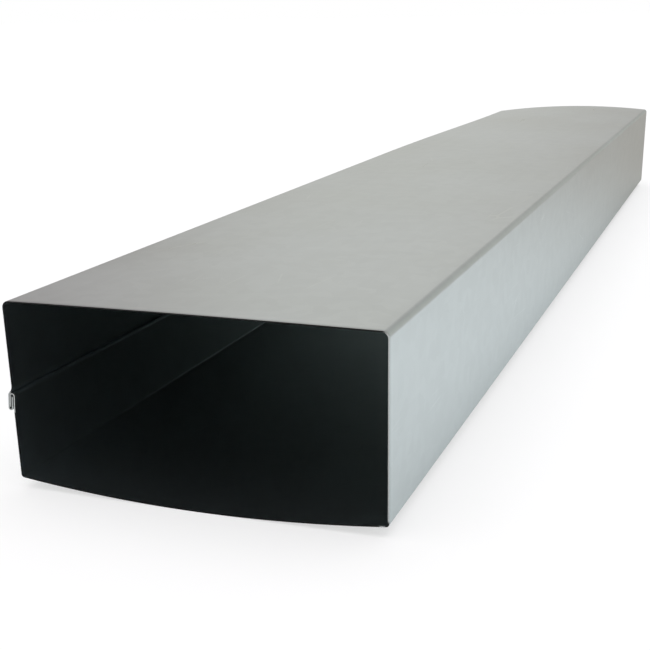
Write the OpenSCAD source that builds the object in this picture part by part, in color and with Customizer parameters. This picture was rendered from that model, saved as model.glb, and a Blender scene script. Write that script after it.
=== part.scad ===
// Flat rectangular ventilation duct, folded from one sheet of galvanised steel.
// Four bends make the box, and an outside lock seam closes one narrow wall.
// The duct lies on a wide wall: X runs across it, Y along it and Z up.
// The origin is under the middle of the duct, on the surface that it lies on.

/* [Duct] */
// Outside width, between the outer faces of the two narrow walls
duct_w = 170; // [110:5:250]
// Outside height at the bends, between the two wide walls
duct_h = 80; // [60:5:150]
// Length of the duct
duct_l = 1000; // [500:50:1500]
// Thickness of the sheet
sheet_t = 0.6; // [0.4:0.05:0.9]

/* [Bends] */
// Outside radius of the two upper bends
top_bend_r = 3; // [1.5:0.25:6]
// Outside radius of the two lower bends
bottom_bend_r = 1.5; // [1.2:0.1:6]

/* [Lock seam] */
// Height of the middle of the seam above the lower wide wall
seam_z = 35; // [20:0.5:40]
// Straight length over which the four layers lie side by side
seam_overlap = 5.6; // [3:0.2:10]
// Open gap on each side of the tongue
tongue_gap = 0.4; // [0.1:0.05:0.6]
// Gap left between the two outer layers, which are pressed together
nip_gap = 0.1; // [0.1:0.05:0.4]
// How far short of the fold that it faces each free edge ends
tip_gap = 0.4; // [0:0.1:1]
// Slope of the step that carries the upper wall out over the seam
step_angle = 50; // [45:5:80]
// Lean of the seam into the duct, off the line of the wall below it
seam_lean = 5.5; // [0:0.5:8]

/* [Bow of the wide walls] */
// Outward bow of the top wall at the front end
top_bow_front = 0.4; // [0:0.1:6]
// Outward bow of the top wall at the back end
top_bow_back = 4.7; // [0:0.1:6]
// Outward bow of the lower wall at the front end
bottom_bow_front = 5; // [0:0.1:6]
// Outward bow of the lower wall at the back end
bottom_bow_back = 5; // [0:0.1:6]
// Drop of the top bend on the seam side, at the back end
edge_drop = 3.4; // [0:0.1:5]
// Length of duct over which that drop comes in
drop_run = 460; // [100:20:480]

/* [Smoothness] */
// Number of lengthwise steps
steps = 16; // [8:1:20]
// Flats across the bow of each wide wall: an odd number leaves a level one in the middle
bow_flats = 15; // [9:2:21]
// Flats round each corner bend
bend_flats = 6; // [3:1:8]
// Flats round each fold of the seam, an even number
fold_flats = 8; // [6:2:12]

/* [Hidden] */

half_t = sheet_t / 2;
// All positions below are of the middle of the sheet's thickness.
wall_x = duct_w / 2 - half_t;

// The layers of the seam, as distances out from the wall: tongue, hook and cover
tongue_out = sheet_t + tongue_gap;
hook_out = tongue_out + sheet_t + tongue_gap;
cover_out = hook_out + sheet_t + nip_gap;

// The foot of the seam, from which it leans
foot = [-wall_x, seam_z - seam_overlap / 2];

// The hook turns over the tongue, and the cover follows it round the same centre.
hook_fold_r = hook_out / 2;
hook_centre = leaning(hook_fold_r, seam_overlap);
cover_fold_r = cover_out - hook_fold_r;
// The cover turns under the hook and comes up again as the tongue.
tongue_fold_r = (cover_out - tongue_out) / 2;
tongue_centre = leaning((cover_out + tongue_out) / 2, 0);
// The step back to the wall is two arcs that meet at step_angle.
step_r = (cover_fold_r * cos(step_angle) - wall_x - hook_centre.x) / (1 - cos(step_angle));
step_turn = 180 - step_angle;
step_centre = hook_centre + (cover_fold_r + step_r) * [cos(step_turn), sin(step_turn)];

// The deepest bow touches the surface that the duct lies on.
lift = max(bottom_bow_front, bottom_bow_back);

function mix(a, b, t) = a + (b - a) * t;

function ease(t) = t * t * (3 - 2 * t);

// A point of the seam, from its distance out from the wall and its height above the foot
function leaning(out, up) =
    foot + out * [-cos(seam_lean), sin(seam_lean)] + up * [sin(seam_lean), cos(seam_lean)];

// Points on an arc from angle a to angle b
function arc(centre, r, a, b, flats) =
    [for (i = [0 : flats]) let (angle = mix(a, b, i / flats))
        centre + r * [cos(angle), sin(angle)]];

// The inner points of a parabola from p to q that stands rise off their chord
function bowed(p, q, rise) =
    let (peak = (p + q) / 2 + [0, 2 * rise])
    [for (i = [1 : bow_flats - 1]) let (t = i / bow_flats)
        mix(mix(p, peak, t), mix(peak, q, t), t)];

// A wide wall with the bend at each of its ends, from left to right. side is 1
// for the top wall and -1 for the lower one, and each bend stops where its
// tangent meets the slope of the bowed sheet.
function wide_wall(side, bend_r, bow, drop) =
    let (r = bend_r - half_t,
         reach = duct_w / 2 - bend_r,
         crown = atan(2 * bow / reach),
         tilt = atan(drop / (2 * reach)),
         level = side > 0 ? duct_h - bend_r : bend_r,
         left = arc([-reach, level - drop], r, side * 180,
                    side * (90 + crown + tilt), bend_flats),
         right = arc([reach, level], r, side * (90 - crown + tilt), 0, bend_flats),
         p = left[bend_flats],
         q = right[0])
    concat(left, bowed(p, q, side * (q.x - p.x) / 4 * tan(crown)), right);

function tail(list) = [for (i = [1 : len(list) - 1]) list[i]];

function reversed(list) = [for (i = [len(list) - 1 : -1 : 0]) list[i]];

// The sheet from its tongue edge, round the duct, to its hook edge, at a share
// of the length from 0 at the front end to 1 at the back end
function sheet_line(share) =
    let (drop = edge_drop * ease(max(0, 1 - (1 - share) * duct_l / drop_run)))
    concat(
        [leaning(tongue_out, seam_overlap - tip_gap)],
        arc(tongue_centre, tongue_fold_r, -seam_lean, -180 - seam_lean, fold_flats),
        arc(hook_centre, cover_fold_r, 180 - seam_lean, step_turn, fold_flats / 2),
        tail(arc(step_centre, step_r, -step_angle, 0, fold_flats / 2)),
        wide_wall(1, top_bend_r, mix(top_bow_front, top_bow_back, share), drop),
        reversed(wide_wall(-1, bottom_bend_r,
                           mix(bottom_bow_front, bottom_bow_back, share), 0)),
        [foot],
        arc(hook_centre, hook_fold_r, -seam_lean, 180 - seam_lean, fold_flats),
        [leaning(hook_out, tip_gap)]);

function normal(p, q) = [p.y - q.y, q.x - p.x] / norm(q - p);

// The line moved sideways by a distance, with its corners mitred
function beside(line, distance) =
    let (last = len(line) - 1)
    [for (i = [0 : last])
        let (before = normal(line[max(i - 1, 0)], line[max(i, 1)]),
             after = normal(line[min(i, last - 1)], line[min(i + 1, last)]))
        line[i] + distance * (before + after) / (1 + before * after)];

// The section of the sheet, as a closed outline
function outline(share) =
    let (line = sheet_line(share))
    concat(beside(line, half_t), reversed(beside(line, -half_t)));

// One sheet skinned through all its sections
module duct() {
    sections = [for (i = [0 : steps]) outline(i / steps)];
    count = len(sections[0]);
    points = [for (i = [0 : steps], p = sections[i])
        [p.x, mix(-duct_l / 2, duct_l / 2, i / steps), p.y + lift]];
    skin = [for (i = [0 : steps - 1], j = [0 : count - 1])
        let (a = i * count + j, b = i * count + (j + 1) % count)
        each [[a, b + count, b], [a, a + count, b + count]]];
    front = [for (j = [0 : count / 2 - 2])
        let (a = count - 1 - j)
        each [[j, a - 1, a], [j, j + 1, a - 1]]];
    back = [for (face = front) reversed(face) + steps * count * [1, 1, 1]];
    color("gainsboro") polyhedron(points, concat(skin, front, back), convexity = 10);
}

duct();
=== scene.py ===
"""Flat rectangular ventilation duct, folded from galvanised steel sheet and closed by a lock seam.

The sheet is folded here as a press brake would do it, edge by edge, round the same bends and seam as
the construction model, and then gets its thickness, its zinc finish and a plain studio stage.
"""

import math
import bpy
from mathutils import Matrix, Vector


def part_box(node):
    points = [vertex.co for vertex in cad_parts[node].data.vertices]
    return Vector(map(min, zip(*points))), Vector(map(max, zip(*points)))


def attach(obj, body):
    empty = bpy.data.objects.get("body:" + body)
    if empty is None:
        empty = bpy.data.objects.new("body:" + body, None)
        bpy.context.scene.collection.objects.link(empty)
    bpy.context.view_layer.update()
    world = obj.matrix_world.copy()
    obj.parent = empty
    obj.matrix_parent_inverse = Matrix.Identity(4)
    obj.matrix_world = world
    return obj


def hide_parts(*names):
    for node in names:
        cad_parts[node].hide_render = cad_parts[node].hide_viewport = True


bl_info = {
    "name": "Flat Sheet-Steel Air Duct",
    "version": (1, 0, 0),
    "blender": (4, 5, 0),
    "location": "3D View > Sidebar > Air Duct",
    "description": "Folds a rectangular air duct from sheet, with its lock seam, zinc finish and stage",
    "category": "Object",
}

import bpy
from bpy.props import FloatProperty, FloatVectorProperty, IntProperty, PointerProperty
from mathutils import Matrix, Vector

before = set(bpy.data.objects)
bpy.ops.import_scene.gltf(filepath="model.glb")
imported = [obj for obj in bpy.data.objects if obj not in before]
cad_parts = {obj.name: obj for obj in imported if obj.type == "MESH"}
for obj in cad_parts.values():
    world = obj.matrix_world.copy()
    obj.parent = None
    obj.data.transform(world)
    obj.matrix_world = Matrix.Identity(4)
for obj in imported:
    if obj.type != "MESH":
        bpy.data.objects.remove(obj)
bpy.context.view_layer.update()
DUCT_LOW, DUCT_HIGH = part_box("duct")
MM = 0.001

# How finely the sheet is folded: flats round each fold and bend, and cuts across each run of wall
SEAM_FLATS = 12
BEND_FLATS = 8
WIDE_WALL_CUTS = 24
SEAM_WALL_CUTS = 4

# The waves in the walls: how late they die away towards the ends, and their share on the plain side
WAVE_END_POWER = 8
PLAIN_SIDE_WAVES = 0.5

# The painted glints, a few bright specks on the front end's lower rim: how far in from the plain side,
# and how far they reach
SPECKS_FROM_SIDE = 3 * MM
SPECKS_REACH = 1.5 * MM

# The floor: its size, and where along Y its reflected colour, a painted shade, starts and ends to
# change
FLOOR_RADIUS = 30
FLOOR_SIDES = 96
FLOOR_FADE = (-0.3, 0.83)
FLOOR_LIGHT_SPREAD = math.radians(60)

# Where each light in the air starts and is full, as the sine of the angle above the floor
DOME_RISE = (0.15, 0.7)
SOFTBOX_RISE = (0.65, 0.95)
BAFFLE_RISE = (0.88, 0.97)

# The panels and flags by the name of their colour: bearing, height and reach, all in degrees
PANELS = {
    "panel_behind": (-18, 21, 18),
    "panel_beside": (35, 12, 32),
    "panel_right": (85, 15, 55),
    "panel_left": (-75, 15, 40),
    "panel_front": (180, 25, 60),
}
FLAGS = {
    "flag_right": (25, 35, 30),
    "flag_left": (-48, 14, 25),
}


# ---------------------------------------------------------------- settings


class DuctSheetSettings(bpy.types.PropertyGroup):
    """Sizes of the folded sheet."""

    width: FloatProperty(
        name="Width", description="Outside width between the narrow walls",
        default=170 * MM, min=110 * MM, max=250 * MM, subtype="DISTANCE",
    )
    height: FloatProperty(
        name="Height", description="Outside height at the bends, between the wide walls",
        default=80 * MM, min=60 * MM, max=150 * MM, subtype="DISTANCE",
    )
    length: FloatProperty(
        name="Length", description="Length of the duct",
        default=DUCT_HIGH.y - DUCT_LOW.y, min=0.5, max=1.5, subtype="DISTANCE",
    )
    sheet: FloatProperty(
        name="Sheet", description="Thickness of the sheet",
        default=0.6 * MM, min=0.4 * MM, max=0.9 * MM, subtype="DISTANCE",
    )
    top_bend: FloatProperty(
        name="Top Bend", description="Outside radius of the two upper bends",
        default=3 * MM, min=1.5 * MM, max=6 * MM, subtype="DISTANCE",
    )
    bottom_bend: FloatProperty(
        name="Bottom Bend", description="Outside radius of the two lower bends",
        default=1.5 * MM, min=1.2 * MM, max=6 * MM, subtype="DISTANCE",
    )
    seam_height: FloatProperty(
        name="Seam Height", description="Middle of the seam above the lower wide wall",
        default=35 * MM, min=20 * MM, max=40 * MM, subtype="DISTANCE",
    )
    seam_overlap: FloatProperty(
        name="Seam Overlap", description="Straight length over which the four layers lie side by side",
        default=5.6 * MM, min=3 * MM, max=10 * MM, subtype="DISTANCE",
    )
    tongue_gap: FloatProperty(
        name="Tongue Gap", description="Open gap on each side of the tongue",
        default=0.4 * MM, min=0.1 * MM, max=0.6 * MM, subtype="DISTANCE",
    )
    nip_gap: FloatProperty(
        name="Nip Gap", description="Gap between the two outer layers, which are pressed together",
        default=0.1 * MM, min=0.1 * MM, max=0.4 * MM, subtype="DISTANCE",
    )
    tip_gap: FloatProperty(
        name="Tip Gap", description="How far short of the fold that it faces each free edge ends",
        default=0.4 * MM, min=0, max=1 * MM, subtype="DISTANCE",
    )
    step_angle: FloatProperty(
        name="Step Angle",
        description="Slope of the step that carries the upper wall out over the seam",
        default=math.radians(50), min=math.radians(45), max=math.radians(80), subtype="ANGLE",
    )
    seam_lean: FloatProperty(
        name="Seam Lean",
        description="Lean of the seam into the duct, off the line of the wall below it",
        default=math.radians(5.5), min=0, max=math.radians(8), subtype="ANGLE",
    )
    top_bow_front: FloatProperty(
        name="Top Bow, Front", description="Outward bow of the top wall at the front end",
        default=0.4 * MM, min=0, max=6 * MM, subtype="DISTANCE",
    )
    top_bow_back: FloatProperty(
        name="Top Bow, Back", description="Outward bow of the top wall at the back end",
        default=4.7 * MM, min=0, max=6 * MM, subtype="DISTANCE",
    )
    bottom_bow: FloatProperty(
        name="Bottom Bow", description="Outward bow of the lower wall",
        default=5 * MM, min=1 * MM, max=6 * MM, subtype="DISTANCE",
    )
    edge_drop: FloatProperty(
        name="Edge Drop", description="Drop of the top bend on the seam side, at the back end",
        default=3.4 * MM, min=0, max=5 * MM, subtype="DISTANCE",
    )
    drop_run: FloatProperty(
        name="Drop Run", description="Length of duct over which that drop comes in",
        default=0.46, min=0.1, max=0.48, subtype="DISTANCE",
    )
    ripple: FloatProperty(
        name="Ripple", description="Depth of the shallow waves in the thin walls",
        default=0.25 * MM, min=0, max=1 * MM, subtype="DISTANCE",
    )
    stations: IntProperty(
        name="Stations", description="Steps along the length", default=60, min=8, max=120,
    )


class DuctFinishSettings(bpy.types.PropertyGroup):
    """Colours of the zinc coat, and of the cut edges, painted dark as shade and light as highlights."""

    zinc: FloatVectorProperty(
        name="Zinc", description="Colour of the zinc coat on the outside",
        default=(0.56, 0.58, 0.58), size=3, subtype="COLOR", min=0, max=1,
    )
    zinc_inside: FloatVectorProperty(
        name="Zinc Inside", description="Colour of the dull side that faces the air way",
        default=(0.485, 0.543, 0.557), size=3, subtype="COLOR", min=0, max=1,
    )
    # The dark colour of the cut edges is painted shade.
    shaded_cut_edge: FloatVectorProperty(
        name="Shaded Cut Edge", description="Colour of the dull sheared edges at the ends",
        default=(0.02, 0.02, 0.02), size=3, subtype="COLOR", min=0, max=1,
    )
    # The light colour of the cut edges is a painted highlight, where they catch light.
    lit_cut_edge: FloatVectorProperty(
        name="Lit Cut Edge", description="Colour of the sheared edges where they are rubbed bright",
        default=(0.48, 0.48, 0.47), size=3, subtype="COLOR", min=0, max=1,
    )
    roughness: FloatProperty(
        name="Roughness", description="Mean roughness of the zinc outside",
        default=0.355, min=0.1, max=1, subtype="FACTOR",
    )
    roughness_inside: FloatProperty(
        name="Roughness Inside", description="Mean roughness of the zinc inside",
        default=0.28, min=0.1, max=1, subtype="FACTOR",
    )


class DuctStageSettings(bpy.types.PropertyGroup):
    """The floor, the lights and the camera."""

    floor: FloatVectorProperty(
        name="Floor", description="Colour of the floor",
        default=(0.94, 0.945, 0.95), size=3, subtype="COLOR", min=0, max=1,
    )
    # A painted light: the floor glows to the camera only and lights nothing, so its shadow stays light.
    floor_glow: FloatProperty(
        name="Floor Glow",
        description="Share of the floor's white that comes from below, as on a light table",
        default=0.6, min=0, max=1, subtype="FACTOR",
    )
    # Painted shade: in reflections the floor is lighter before the duct and darker behind it.
    floor_near: FloatVectorProperty(
        name="Floor Near", description="Colour of the floor before the duct, in reflections",
        default=(0.865, 0.935, 0.945), size=3, subtype="COLOR", min=0, max=1,
    )
    floor_behind: FloatVectorProperty(
        name="Floor Behind", description="Colour of the floor behind the duct, in reflections",
        default=(0.465, 0.45, 0.41), size=3, subtype="COLOR", min=0, max=1,
    )
    horizon: FloatVectorProperty(
        name="Horizon", description="Colour of the air at floor level",
        default=(0.47, 0.44, 0.388), size=3, subtype="COLOR", min=0, max=2,
    )
    dome: FloatVectorProperty(
        name="Dome", description="Colour of the air from the shoulders up",
        default=(0.637, 0.617, 0.652), size=3, subtype="COLOR", min=0, max=2,
    )
    overhead: FloatVectorProperty(
        name="Overhead", description="Colour that the softbox overhead adds",
        default=(1.39, 1.425, 1.38), size=3, subtype="COLOR", min=0, max=2,
    )
    baffle: FloatProperty(
        name="Baffle",
        description="Share of the softbox's light that the baffle under its middle holds back",
        default=0.7, min=0, max=1, subtype="FACTOR",
    )
    floor_light: FloatProperty(
        name="Floor Light",
        description="Strength of the soft light on the floor, which metal doesn't reflect",
        default=0.55, min=0, max=10,
    )
    panel_behind: FloatVectorProperty(
        name="Panel Behind", description="Colour that the soft panel behind the duct adds",
        default=(0.278, 0.323, 0.30), size=3, subtype="COLOR", min=0, max=2,
    )
    panel_beside: FloatVectorProperty(
        name="Panel Beside", description="Colour that the soft panel behind and to the right adds",
        default=(0.205, 0.262, 0.27), size=3, subtype="COLOR", min=0, max=2,
    )
    panel_right: FloatVectorProperty(
        name="Panel Right", description="Colour that the wide panel on the right adds",
        default=(0.076, 0.076, 0.105), size=3, subtype="COLOR", min=0, max=2,
    )
    panel_left: FloatVectorProperty(
        name="Panel Left", description="Colour that the soft panel on the left adds",
        default=(0.14, 0.143, 0.13), size=3, subtype="COLOR", min=0, max=2,
    )
    panel_front: FloatVectorProperty(
        name="Panel Front", description="Colour that the wide panel in front of the duct adds",
        default=(0.035, 0.0, 0.007), size=3, subtype="COLOR", min=0, max=2,
    )
    flag_right: FloatVectorProperty(
        name="Flag Right",
        description="Colour that the dark flag high up behind on the right takes away",
        default=(0.144, 0.09, 0.106), size=3, subtype="COLOR", min=0, max=2,
    )
    flag_left: FloatVectorProperty(
        name="Flag Left", description="Colour that the dark flag low behind on the left takes away",
        default=(0.21, 0.22, 0.19), size=3, subtype="COLOR", min=0, max=2,
    )
    light: FloatProperty(
        name="Light", description="Strength of all the lights together", default=1.0, min=0, max=10,
    )
    camera_place: FloatVectorProperty(
        name="Camera Place", description="Where the camera stands",
        default=(0.20483, -0.89206, 0.19711), size=3, subtype="TRANSLATION",
    )
    camera_turn: FloatVectorProperty(
        name="Camera Turn", description="Rotation of the camera",
        default=[math.radians(a) for a in (70.098, 0.936, 20.067)], size=3, subtype="EULER",
    )
    focal_length: FloatProperty(
        name="Focal Length", description="Focal length of the camera in millimetres",
        default=63.25, min=20, max=200,
    )
    camera_side: FloatProperty(
        name="Camera Side", description="Sideways shift of the frame, as a share of its width",
        default=-0.0008, min=-0.5, max=0.5,
    )
    camera_rise: FloatProperty(
        name="Camera Rise", description="Upward shift of the frame, as a share of its width",
        default=0.1524, min=-0.5, max=0.5,
    )


# ---------------------------------------------------------------- modelling helpers


def deselect_all():
    bpy.ops.object.select_all(action="DESELECT")


def make_active(piece):
    deselect_all()
    piece.select_set(True)
    bpy.context.view_layer.objects.active = piece


def select_edges(piece, wanted):
    """Goes to edit mode with only those edges selected whose two ends pass the test."""
    bpy.ops.object.mode_set(mode="EDIT")
    bpy.ops.mesh.select_mode(type="EDGE")
    bpy.ops.mesh.select_all(action="DESELECT")
    bpy.ops.object.mode_set(mode="OBJECT")
    points = piece.data.vertices
    for edge in piece.data.edges:
        edge.select = wanted(*(points[i].co for i in edge.vertices))
    bpy.ops.object.mode_set(mode="EDIT")


def apply_modifier(piece, kind, name, **settings):
    modifier = piece.modifiers.new(name, kind)
    for key, value in settings.items():
        setattr(modifier, key, value)
    bpy.ops.object.modifier_apply(modifier=modifier.name)


def clamp(value):
    return min(max(value, 0.0), 1.0)


def push(piece, name, weight_of, direction, strength, texture=None, mid_level=0):
    """Moves each vertex in a direction by strength times the weight of its place."""
    group = piece.vertex_groups.new(name=name)
    for vertex in piece.data.vertices:
        group.add([vertex.index], clamp(weight_of(vertex.co)), "REPLACE")
    make_active(piece)
    apply_modifier(
        piece, "DISPLACE", name, vertex_group=name, direction=direction, strength=strength,
        texture=texture, texture_coords="LOCAL", mid_level=mid_level,
    )
    piece.vertex_groups.clear()


class Brake:
    """A press brake: carries the leading edge of the sheet on, straight or round a fold.

    The section is drawn in the XZ plane. `at` is where the leading edge lies and `heading` the
    way it travels. Turns are clockwise, with X to the right and Z up, when they are positive.
    """

    def __init__(self, at, heading):
        self.at = at
        self.heading = heading

    def straight(self, run, cuts=1):
        """Extrudes the leading edge on by a run, in equal cuts."""
        for _ in range(cuts):
            step = self.heading * (run / cuts)
            bpy.ops.mesh.extrude_region_move(TRANSFORM_OT_translate={"value": step})
            self.at = self.at + step

    def fold(self, radius, turn, flats):
        """Spins the leading edge round a fold, to the right if turn is positive."""
        side = math.copysign(1, turn)
        to_centre = Vector((self.heading.z, 0, -self.heading.x)) * side * radius
        centre = self.at + to_centre
        bpy.ops.mesh.spin(steps=flats, angle=-turn, center=centre, axis=(0, 1, 0))
        turned = Matrix.Rotation(turn, 3, "Y")
        self.at = centre - turned @ to_centre
        self.heading = turned @ self.heading


# ---------------------------------------------------------------- materials


def new_group(name, inputs, outputs):
    """A shader node group of numbers, with inputs {name: default} and outputs [name]."""
    group = bpy.data.node_groups.new(name, "ShaderNodeTree")
    for socket, value in inputs.items():
        made = group.interface.new_socket(socket, in_out="INPUT", socket_type="NodeSocketFloat")
        made.default_value = value
    for socket in outputs:
        group.interface.new_socket(socket, in_out="OUTPUT", socket_type="NodeSocketFloat")
    return group, Nodes(group)


class Nodes:
    """Adds nodes to a tree: each socket is set to a value, or linked when it is given a socket."""

    def __init__(self, tree):
        self.tree = tree

    def feed(self, node, inputs):
        for socket, value in inputs.items():
            if isinstance(value, bpy.types.NodeSocket):
                self.tree.links.new(value, node.inputs[socket])
            else:
                node.inputs[socket].default_value = value

    def add(self, kind, inputs=None, **settings):
        node = self.tree.nodes.new(kind)
        for name, value in settings.items():
            setattr(node, name, value)
        self.feed(node, inputs or {})
        return node

    def math(self, operation, *values):
        node = self.add("ShaderNodeMath", dict(enumerate(values)), operation=operation)
        return node.outputs[0]

    def spread(self, value, low, high, to_low=0.0, to_high=1.0):
        """Maps low..high smoothly to to_low..to_high."""
        node = self.add(
            "ShaderNodeMapRange",
            {0: value, 1: low, 2: high, 3: to_low, 4: to_high},
            interpolation_type="SMOOTHSTEP",
        )
        return node.outputs[0]

    def band(self, value, middle, full, gone):
        """Mask that is 1 up to a distance of full from the middle, and fades to 0 at gone."""
        distance = self.math("ABSOLUTE", self.math("SUBTRACT", value, middle))
        return self.spread(distance, full, gone, 1.0, 0.0)

    def blend(self, share, first, second):
        """Colour that goes from the first to the second as share goes from 0 to 1."""
        node = self.add("ShaderNodeMix", {0: share, 6: first, 7: second}, data_type="RGBA")
        return node.outputs[2]

    def scaled(self, colour, factor):
        """A colour made lighter or darker by a factor."""
        node = self.add("ShaderNodeVectorMath", {0: colour, "Scale": factor}, operation="SCALE")
        return node.outputs[0]

    def noise(self, place, scale, detail=2.0, roughness=0.5):
        node = self.add(
            "ShaderNodeTexNoise",
            {"Vector": place, "Scale": scale, "Detail": detail, "Roughness": roughness},
        )
        return node.outputs[0]

    def place(self, scale=(1, 1, 1), offset=(0, 0, 0)):
        """The point on the object, in metres, stretched by a scale and then moved by an offset."""
        coords = self.add("ShaderNodeTexCoord")
        node = self.add(
            "ShaderNodeMapping",
            {"Vector": coords.outputs["Object"], "Scale": scale, "Location": offset},
        )
        return node.outputs[0]

    def axes(self):
        """The point on the object as its x, y and z, in metres."""
        split = self.add("ShaderNodeSeparateXYZ", {0: self.place()})
        return [split.outputs[axis] for axis in "XYZ"]


def zinc_crystals():
    """Group: the faint crystal pattern of a zinc coat, as a tone around 1 and a grain height."""
    name = "zinc_crystals"
    if name in bpy.data.node_groups:
        return bpy.data.node_groups[name]
    group, n = new_group(name, {"Crystal Scale": 140.0, "Contrast": 0.04}, ["Tone", "Grain"])
    inside = n.add("NodeGroupInput")
    swirl = n.add("ShaderNodeTexNoise", {"Vector": n.place(), "Scale": 90.0})
    warped = n.add(
        "ShaderNodeVectorMath", {0: swirl.outputs["Color"], 1: [4 * MM] * 3, 2: n.place()},
        operation="MULTIPLY_ADD",
    )
    cells = n.add(
        "ShaderNodeTexVoronoi", {"Vector": warped.outputs[0], "Scale": inside.outputs["Crystal Scale"]}
    )
    shade = n.add("ShaderNodeSeparateColor", {0: cells.outputs["Color"]}).outputs[0]
    centred = n.math("SUBTRACT", shade, 0.5)
    tone = n.math("MULTIPLY_ADD", centred, inside.outputs["Contrast"], 1.0)
    grain = n.noise(n.place(), scale=1400.0, detail=3.0, roughness=0.6)
    n.add("NodeGroupOutput", {"Tone": tone, "Grain": grain})
    return group


def store_marks():
    """Group: what storing leaves on a sheet: cloudy bloom, wiped streaks and fine scratches."""
    name = "store_marks"
    if name in bpy.data.node_groups:
        return bpy.data.node_groups[name]
    group, n = new_group(name, {"Bloom": 1.0, "Scratches": 1.0}, ["Cloud", "Streak", "Scratch"])
    inside = n.add("NodeGroupInput")
    cloud = n.noise(n.place(), scale=9.0, detail=4.0, roughness=0.55)
    cloud = n.math("MULTIPLY", n.spread(cloud, 0.3, 0.7, -0.5, 0.5), inside.outputs["Bloom"])
    along = n.place(scale=(1, 0.06, 1))
    streak = n.noise(along, scale=160.0, detail=3.0, roughness=0.6)
    streak = n.math("MULTIPLY", n.spread(streak, 0.35, 0.65, -0.5, 0.5), inside.outputs["Bloom"])
    lines = n.add(
        "ShaderNodeTexVoronoi",
        {"Vector": n.place(scale=(1, 0.09, 1), offset=(0.3, 0.2, 0.1)), "Scale": 55.0},
        feature="DISTANCE_TO_EDGE",
    )
    thin = n.spread(lines.outputs["Distance"], 0.0, 0.012, 1.0, 0.0)
    patchy = n.spread(n.noise(n.place(), scale=22.0), 0.55, 0.7)
    scratch = n.math("MULTIPLY", n.math("MULTIPLY", thin, patchy), inside.outputs["Scratches"])
    n.add("NodeGroupOutput", {"Cloud": cloud, "Streak": streak, "Scratch": scratch})
    return group


def worn_edges():
    """Group: masks of painted shade along the four bends and along the ends, each 1 there and fading
    over its band.

    The band of a bend reaches further in on the wide walls, and the band of a rim is fainter on the
    narrow ones.
    """
    name = "worn_edges"
    if name in bpy.data.node_groups:
        return bpy.data.node_groups[name]
    group, n = new_group(
        name,
        {
            "Half Width": 0.085, "Low": 0.0, "High": 0.08, "Half Length": 0.5,
            "Bend Band": 0.003, "Rim Band": 0.003,
        },
        ["Bend", "Rim"],
    )
    inside = n.add("NodeGroupInput")
    x, y, z = n.axes()
    from_side = n.math("SUBTRACT", inside.outputs["Half Width"], n.math("ABSOLUTE", x))
    from_low = n.math("ABSOLUTE", n.math("SUBTRACT", z, inside.outputs["Low"]))
    from_high = n.math("ABSOLUTE", n.math("SUBTRACT", inside.outputs["High"], z))
    across = n.math("MULTIPLY", n.math("ABSOLUTE", from_side), 0.6)
    distance = n.math("MAXIMUM", across, n.math("MINIMUM", from_low, from_high))
    bend = n.spread(distance, 0.0, inside.outputs["Bend Band"], 1.0, 0.0)
    from_end = n.math("SUBTRACT", inside.outputs["Half Length"], n.math("ABSOLUTE", y))
    rim = n.spread(from_end, 0.0, inside.outputs["Rim Band"], 1.0, 0.0)
    on_wide_wall = n.spread(from_side, 0.0, inside.outputs["Bend Band"], 0.2, 1.0)
    rim = n.math("MULTIPLY", rim, on_wide_wall)
    n.add("NodeGroupOutput", {"Bend": bend, "Rim": rim})
    return group


def new_material(name):
    material = bpy.data.materials.new(name)
    material.use_nodes = True
    shader = material.node_tree.nodes["Principled BSDF"]
    return material, Nodes(material.node_tree), shader


def metal_finish(name, colour, roughness, sizes, contrast, marking, edge_shade_strength, bump_strength):
    """A zinc coat: its colour, roughness and bump vary with crystals, bloom, streaks and scratches, and
    its colour gets painted shade along the bends and the ends.
    """
    material, n, shader = new_material(name)
    crystals = n.add("ShaderNodeGroup", {"Contrast": contrast}, node_tree=zinc_crystals()).outputs
    marks = n.add(
        "ShaderNodeGroup", {"Bloom": marking, "Scratches": marking}, node_tree=store_marks()
    ).outputs
    # Masks for the painted shade that darkens the bends and the ends.
    edges = n.add(
        "ShaderNodeGroup",
        {
            "Half Width": sizes.width / 2,
            "Low": sizes.bottom_bow,
            "High": sizes.bottom_bow + sizes.height,
            "Half Length": sizes.length / 2,
            "Bend Band": 1.3 * sizes.top_bend,
            "Rim Band": 5 * sizes.sheet,
        },
        node_tree=worn_edges(),
    ).outputs

    # The bend and rim masks paint shade: the colour darkens along the bends and, more, along the ends.
    tone = crystals["Tone"]
    for effect, strength in (
        (marks["Cloud"], 0.035), (marks["Streak"], 0.015), (marks["Scratch"], 0.03),
        (edges["Bend"], 0.15 * edge_shade_strength), (edges["Rim"], edge_shade_strength),
    ):
        tone = n.math("MULTIPLY_ADD", effect, strength, tone)
    rough = roughness
    for effect, strength in (
        (marks["Cloud"], 0.05), (marks["Scratch"], -0.10), (crystals["Grain"], 0.04),
    ):
        rough = n.math("MULTIPLY_ADD", effect, strength, rough)
    bump = n.add(
        "ShaderNodeBump",
        {"Height": crystals["Grain"], "Strength": bump_strength, "Distance": 0.02 * MM},
    )
    n.feed(shader, {
        "Base Color": n.scaled(colour, tone), "Metallic": 1.0, "Roughness": rough,
        "Normal": bump.outputs[0],
    })
    return material


def zinc_outside(sizes, finish):
    # The outside gets painted shade along its bends and its ends; the inside gets none.
    return metal_finish(
        "zinc_outside", finish.zinc, finish.roughness, sizes,
        contrast=0.04, marking=1.0, edge_shade_strength=-0.3, bump_strength=0.15,
    )


def zinc_inside(sizes, finish):
    return metal_finish(
        "zinc_inside", finish.zinc_inside, finish.roughness_inside, sizes,
        contrast=0.02, marking=0.25, edge_shade_strength=0.0, bump_strength=0.05,
    )


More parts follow.
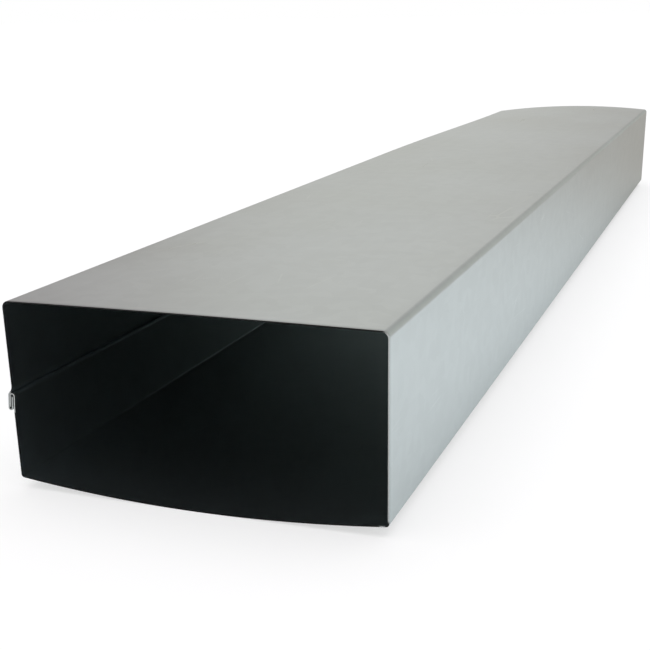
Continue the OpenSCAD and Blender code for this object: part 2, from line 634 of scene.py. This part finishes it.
def shaded_cut_edge(sizes, finish):
    """The sheared edge: dull, and painted dark as shade, with painted highlights in three places where
    it catches light.

    They are the plain side above its lower bend, the seam, and a few specks on the front end's lower
    rim, close to the plain side.
    """
    material, n, shader = new_material("shaded_cut_edge")
    x, y, z = n.axes()
    grain = n.noise(n.place(), scale=3000.0)
    wall = sizes.width / 2
    lower_wall = sizes.bottom_bow

    # Painted highlight down the plain side, above its lower bend.
    plain_side = n.spread(x, wall - sizes.top_bend, wall - sizes.sheet)
    above_bend = n.spread(z, lower_wall + sizes.bottom_bend, lower_wall + 2 * sizes.bottom_bend)
    plain_side = n.math("MULTIPLY", plain_side, above_bend)

    # Painted highlight round the seam.
    level_with_seam = n.band(
        z, lower_wall + sizes.seam_height, 0.75 * sizes.seam_overlap, 0.9 * sizes.seam_overlap
    )
    beside_seam = n.spread(x, 2 * sizes.sheet - wall, 3 * sizes.sheet - wall, 1.0, 0.0)

    # Painted glints: a few bright specks on the front end's lower rim, close to the plain side.
    specks = n.band(x, wall - SPECKS_FROM_SIDE, 0.5 * SPECKS_REACH, SPECKS_REACH)
    on_lower_rim = n.spread(z, lower_wall, lower_wall + 2 * sizes.sheet, 1.0, 0.0)
    front_half = n.spread(y, -0.1, 0.1, 1.0, 0.0)
    for mask in (on_lower_rim, front_half, n.spread(grain, 0.4, 0.5)):
        specks = n.math("MULTIPLY", specks, mask)

    # The edge goes from its dark painted shade to its light painted highlight where these masks say.
    bright = n.math("MULTIPLY_ADD", level_with_seam, beside_seam, plain_side)
    bright = n.math("MAXIMUM", bright, specks)
    colour = n.blend(bright, (*finish.shaded_cut_edge, 1), (*finish.lit_cut_edge, 1))
    n.feed(shader, {
        "Base Color": n.scaled(colour, n.spread(grain, 0.3, 0.7, 0.8, 1.1)), "Metallic": 1.0,
        "Roughness": n.spread(grain, 0.3, 0.7, 0.35, 0.55),
    })
    return material


# ---------------------------------------------------------------- the sheet


class Seam:
    """Sizes and places of the lock seam, on the middle surface of the sheet.

    The layers lie outwards from the wall: the wall itself, the tongue, the hook and the cover.
    """

    def __init__(self, sizes):
        self.lean = sizes.seam_lean
        self.overlap = sizes.seam_overlap
        self.tongue_run = sizes.seam_overlap - sizes.tip_gap
        self.tongue_out = sizes.sheet + sizes.tongue_gap
        hook_out = self.tongue_out + sizes.sheet + sizes.tongue_gap
        cover_out = hook_out + sizes.sheet + sizes.nip_gap
        self.hook_fold = hook_out / 2
        self.cover_fold = cover_out - self.hook_fold
        self.tongue_fold = (cover_out - self.tongue_out) / 2

        self.foot_height = sizes.seam_height - sizes.seam_overlap / 2
        wall_x = sizes.width / 2 - sizes.sheet / 2
        self.foot = Vector((-wall_x, 0, sizes.bottom_bow + self.foot_height))
        self.upward = Vector((math.sin(self.lean), 0, math.cos(self.lean)))
        self.outward = Vector((-math.cos(self.lean), 0, math.sin(self.lean)))

        # The step back to the wall is two arcs, which meet at the step angle.
        slope = math.cos(sizes.step_angle)
        hook_centre = self.place(self.hook_fold, self.overlap)
        self.step_fold = (self.cover_fold * slope - wall_x - hook_centre.x) / (1 - slope)
        rise = (self.cover_fold + self.step_fold) * math.sin(sizes.step_angle)
        self.step_top = hook_centre.z + rise

    def place(self, out, up):
        """The place at a distance out from the wall and up from the foot, along the seam's lean."""
        return self.foot + self.outward * out + self.upward * up


def fold_sheet(sizes):
    """Folds the middle surface of the sheet from the tongue, round the duct, to the hook."""
    seam = Seam(sizes)
    top_bend = sizes.top_bend - sizes.sheet / 2
    bottom_bend = sizes.bottom_bend - sizes.sheet / 2
    upper_bends = sizes.bottom_bow + sizes.height - sizes.top_bend
    reach = sizes.width / 2 - sizes.bottom_bend
    bow_slope = math.atan(2 * sizes.bottom_bow / reach)
    bow_radius = (reach + bottom_bend * math.sin(bow_slope)) / math.sin(bow_slope)
    half_turn, quarter = math.radians(180), math.radians(90)

    # The tongue itself is the primitive: a narrow plane stood on edge, as long as the duct.
    deselect_all()
    bpy.ops.mesh.primitive_plane_add(
        size=1, location=seam.place(seam.tongue_out, seam.tongue_run / 2),
        rotation=(0, quarter + seam.lean, 0),
    )
    sheet = bpy.context.object
    sheet.name = sheet.data.name = "duct_sheet"
    sheet.scale = (seam.tongue_run, sizes.length, 1)
    bpy.ops.object.transform_apply(location=True, rotation=True, scale=True)
    select_edges(sheet, lambda a, b: abs(a.y - b.y) > sizes.length / 2)
    bpy.ops.mesh.subdivide(number_cuts=sizes.stations - 1)
    tongue_foot = seam.place(seam.tongue_out, 0)
    select_edges(sheet, lambda a, b: max(a.z, b.z) < tongue_foot.z + seam.tongue_run / 2)

    brake = Brake(tongue_foot, -seam.upward)
    brake.fold(seam.tongue_fold, half_turn, SEAM_FLATS)
    brake.straight(seam.overlap)
    brake.fold(seam.cover_fold, sizes.step_angle - seam.lean, SEAM_FLATS // 2)
    brake.fold(seam.step_fold, -sizes.step_angle, SEAM_FLATS // 2)
    brake.straight(upper_bends - seam.step_top, SEAM_WALL_CUTS)
    brake.fold(top_bend, quarter, BEND_FLATS)
    brake.straight(sizes.width - 2 * sizes.top_bend, WIDE_WALL_CUTS)
    brake.fold(top_bend, quarter, BEND_FLATS)
    brake.straight(sizes.height - sizes.top_bend - sizes.bottom_bend, 2 * SEAM_WALL_CUTS)
    brake.fold(bottom_bend, quarter - bow_slope, BEND_FLATS)
    brake.fold(bow_radius, 2 * bow_slope, WIDE_WALL_CUTS)
    brake.fold(bottom_bend, quarter - bow_slope, BEND_FLATS)
    brake.straight(seam.foot_height - sizes.bottom_bend, SEAM_WALL_CUTS)
    brake.heading = seam.upward
    brake.straight(seam.overlap)
    brake.fold(seam.hook_fold, -half_turn, SEAM_FLATS)
    brake.straight(seam.tongue_run)

    bpy.ops.mesh.select_all(action="SELECT")
    bpy.ops.mesh.normals_make_consistent(inside=False)
    bpy.ops.object.mode_set(mode="OBJECT")
    highest = max(sheet.data.polygons, key=lambda face: face.center.z)
    if highest.normal.z < 0:
        bpy.ops.object.mode_set(mode="EDIT")
        bpy.ops.mesh.flip_normals()
        bpy.ops.object.mode_set(mode="OBJECT")
    return sheet


def bow_sheet(sheet, sizes):
    """Bows the top wall and drops the bend over the seam, each by more towards the back end."""
    reach = sizes.width / 2 - sizes.top_bend
    wall_top = sizes.bottom_bow + sizes.height - sizes.sheet / 2
    upper_bends = sizes.bottom_bow + sizes.height - sizes.top_bend
    seam_top = Seam(sizes).step_top
    largest = max(sizes.top_bow_front, sizes.top_bow_back)

    def share(p):
        return p.y / sizes.length + 0.5

    def bow(p):
        if p.z < wall_top - sizes.sheet / 10:
            return 0
        rise = sizes.top_bow_front + (sizes.top_bow_back - sizes.top_bow_front) * share(p)
        return (1 - (p.x / reach) ** 2) * rise / largest

    def drop(p):
        t = clamp(1 - (1 - share(p)) * sizes.length / sizes.drop_run)
        across = clamp((reach - p.x) / (2 * reach))
        up = clamp((p.z - seam_top) / (upper_bends - seam_top))
        return across * up * t * t * (3 - 2 * t)

    push(sheet, "top_bow", bow, "Z", largest)
    push(sheet, "edge_drop", drop, "Z", -sizes.edge_drop)


def ripple_sheet(sheet, sizes):
    """Gives the thin walls shallow waves, which hold still at the bends, the seam and the ends."""
    half_width = sizes.width / 2 - sizes.top_bend
    middle = sizes.bottom_bow + sizes.height / 2
    half_height = sizes.height / 2 - sizes.top_bend
    half_length = sizes.length / 2

    def loose(p):
        end = 1 - (p.y / half_length) ** WAVE_END_POWER
        if abs(p.x) < half_width:
            return clamp(1 - (p.x / half_width) ** 2) * end
        if p.x > 0:
            return PLAIN_SIDE_WAVES * clamp(1 - ((p.z - middle) / half_height) ** 2) * end
        return 0

    # The texture's white is the level of rest, so the waves only dent the walls inwards.
    waves = bpy.data.textures.new("sheet_waves", "CLOUDS")
    waves.noise_scale = sizes.width
    waves.noise_depth = 1
    push(sheet, "ripple", loose, "NORMAL", sizes.ripple, texture=waves, mid_level=1)


def thicken_sheet(sheet, sizes):
    """Gives the sheet its thickness, its inside and its cut edges their finish, and clean shading."""
    make_active(sheet)
    apply_modifier(
        sheet, "SOLIDIFY", "sheet_thickness", thickness=sizes.sheet, offset=0, use_even_offset=True,
        material_offset=1, material_offset_rim=2,
    )
    apply_modifier(
        sheet, "BEVEL", "cut_burr", width=sizes.sheet / 8, segments=2, limit_method="ANGLE",
        angle_limit=math.radians(60), use_clamp_overlap=True, material=2,
    )
    bpy.ops.object.shade_smooth_by_angle(angle=math.radians(40))
    apply_modifier(sheet, "WEIGHTED_NORMAL", "flat_walls", keep_sharp=True, weight=100)


class DUCT_OT_sheet(bpy.types.Operator):
    """Folds the sheet into the duct, bows its walls, gives it its thickness and its zinc finish"""

    bl_idname = "duct.fold_sheet"
    bl_label = "Fold Sheet"

    def execute(self, context):
        sizes = context.scene.duct_sheet
        finish = context.scene.duct_finish
        sheet = fold_sheet(sizes)
        for make_finish in (zinc_outside, zinc_inside, shaded_cut_edge):
            sheet.data.materials.append(make_finish(sizes, finish))
        bow_sheet(sheet, sizes)
        ripple_sheet(sheet, sizes)
        thicken_sheet(sheet, sizes)
        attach(sheet, "root")
        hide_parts("duct")
        return {"FINISHED"}


# ---------------------------------------------------------------- stage


def hang_panel(n, air, angles, colour, operation):
    """The air with a soft panel added to it, or a dark flag subtracted from it.

    It is full in its middle, and gone at an angle of reach from there. The bearing turns from the
    back (+Y) towards the right, and all three angles are in degrees.
    """
    bearing, height, reach = (math.radians(angle) for angle in angles)
    level = math.cos(height)
    middle = (math.sin(bearing) * level, math.cos(bearing) * level, math.sin(height))
    toward = n.add("ShaderNodeTexCoord").outputs["Generated"]
    facing = n.add("ShaderNodeVectorMath", {0: toward, 1: middle}, operation="DOT_PRODUCT")
    panel = n.scaled(colour, n.spread(facing.outputs["Value"], math.cos(reach), 1.0))
    return n.add("ShaderNodeVectorMath", {0: air, 1: panel}, operation=operation).outputs[0]


def studio_air(stage):
    """The air of the studio: a softbox overhead, a grey dome, and soft panels and flags round the duct.

    The air looks white itself, and the darker tones are only in its light and its reflections.
    """
    world = bpy.data.worlds.new("studio_air")
    world.use_nodes = True
    n = Nodes(world.node_tree)
    shader = world.node_tree.nodes["Background"]
    toward = n.add("ShaderNodeTexCoord").outputs["Generated"]
    up = n.add("ShaderNodeSeparateXYZ", {0: toward}).outputs["Z"]
    air = n.blend(n.spread(up, *DOME_RISE), (*stage.horizon, 1), (*stage.dome, 1))
    baffle = n.spread(up, *BAFFLE_RISE, 1.0, 1 - stage.baffle)
    softbox = n.scaled(stage.overhead, n.math("MULTIPLY", n.spread(up, *SOFTBOX_RISE), baffle))
    air = n.add("ShaderNodeVectorMath", {0: air, 1: softbox}, operation="ADD").outputs[0]
    for name, angles in PANELS.items():
        air = hang_panel(n, air, angles, getattr(stage, name), "ADD")
    for name, angles in FLAGS.items():
        air = hang_panel(n, air, angles, getattr(stage, name), "SUBTRACT")
    path = n.add("ShaderNodeLightPath")
    seen = n.blend(path.outputs["Is Camera Ray"], air, (1, 1, 1, 1))
    n.feed(shader, {"Color": seen, "Strength": stage.light})
    bpy.context.scene.world = world


def pale_floor(stage):
    """A pale matt floor that glows a little to the camera only, a painted light that keeps the shadow
    on it light.

    It reflects in the duct without that glow, and darker from behind the duct than from before it, a
    painted shade.
    """
    material, n, shader = new_material("pale_floor")
    _, y, _ = n.axes()
    # Painted shade: the floor's colour in reflections darkens from before the duct to behind it.
    reflected = n.blend(
        n.spread(y, *FLOOR_FADE), (*stage.floor_near, 1), (*stage.floor_behind, 1)
    )
    path = n.add("ShaderNodeLightPath").outputs
    # Painted light: to the camera the floor is a darker matt plus a glow, which lights nothing.
    matt = [part * (1 - stage.floor_glow) for part in stage.floor]
    seen = n.blend(path["Is Camera Ray"], (*stage.floor, 1), (*matt, 1))
    glow = [stage.floor_glow] * 3
    n.feed(shader, {
        "Base Color": n.blend(path["Is Glossy Ray"], seen, reflected), "Roughness": 0.9,
        "Specular IOR Level": 0.0,
        "Emission Color": n.blend(path["Is Camera Ray"], (0, 0, 0, 1), (*glow, 1)),
        "Emission Strength": 1.0,
    })
    return material


class DUCT_OT_stage(bpy.types.Operator):
    """Lays the pale floor and sets up the soft light and the camera"""

    bl_idname = "duct.set_stage"
    bl_label = "Set Stage"

    def execute(self, context):
        stage = context.scene.duct_stage
        deselect_all()
        bpy.ops.mesh.primitive_circle_add(vertices=FLOOR_SIDES, radius=FLOOR_RADIUS, fill_type="NGON")
        floor = context.object
        floor.name = "floor"
        floor.data.materials.append(pale_floor(stage))
        studio_air(stage)

        bpy.ops.object.light_add(type="SUN", location=(0, 0, 2))
        floor_light = context.object
        floor_light.name = "floor_light"
        floor_light.data.energy = stage.floor_light * stage.light
        floor_light.data.angle = FLOOR_LIGHT_SPREAD
        floor_light.visible_glossy = False

        bpy.ops.object.camera_add(location=stage.camera_place, rotation=stage.camera_turn)
        camera = context.object
        camera.name = "camera"
        camera.data.lens = stage.focal_length
        camera.data.shift_x = stage.camera_side
        camera.data.shift_y = stage.camera_rise
        context.scene.camera = camera
        context.scene.view_settings.view_transform = "Standard"
        return {"FINISHED"}


# ---------------------------------------------------------------- panel


class DUCT_PT_sidebar(bpy.types.Panel):
    """Sizes, finishes and stage of the duct"""

    bl_label = "Air Duct"
    bl_idname = "DUCT_PT_sidebar"
    bl_space_type = "VIEW_3D"
    bl_region_type = "UI"
    bl_category = "Air Duct"

    def draw(self, context):
        for settings, operator in (
            (context.scene.duct_sheet, DUCT_OT_sheet),
            (context.scene.duct_finish, None),
            (context.scene.duct_stage, DUCT_OT_stage),
        ):
            box = self.layout.box()
            for name in settings.__annotations__:
                box.prop(settings, name)
            if operator:
                box.operator(operator.bl_idname)


CLASSES = (
    DuctSheetSettings,
    DuctFinishSettings,
    DuctStageSettings,
    DUCT_OT_sheet,
    DUCT_OT_stage,
    DUCT_PT_sidebar,
)


def register():
    for cls in CLASSES:
        bpy.utils.register_class(cls)
    bpy.types.Scene.duct_sheet = PointerProperty(type=DuctSheetSettings)
    bpy.types.Scene.duct_finish = PointerProperty(type=DuctFinishSettings)
    bpy.types.Scene.duct_stage = PointerProperty(type=DuctStageSettings)


def unregister():
    del bpy.types.Scene.duct_stage
    del bpy.types.Scene.duct_finish
    del bpy.types.Scene.duct_sheet
    for cls in reversed(CLASSES):
        bpy.utils.unregister_class(cls)


def main():
    register()
    bpy.ops.duct.fold_sheet()
    bpy.ops.duct.set_stage()


if __name__ == "__main__":
    main()
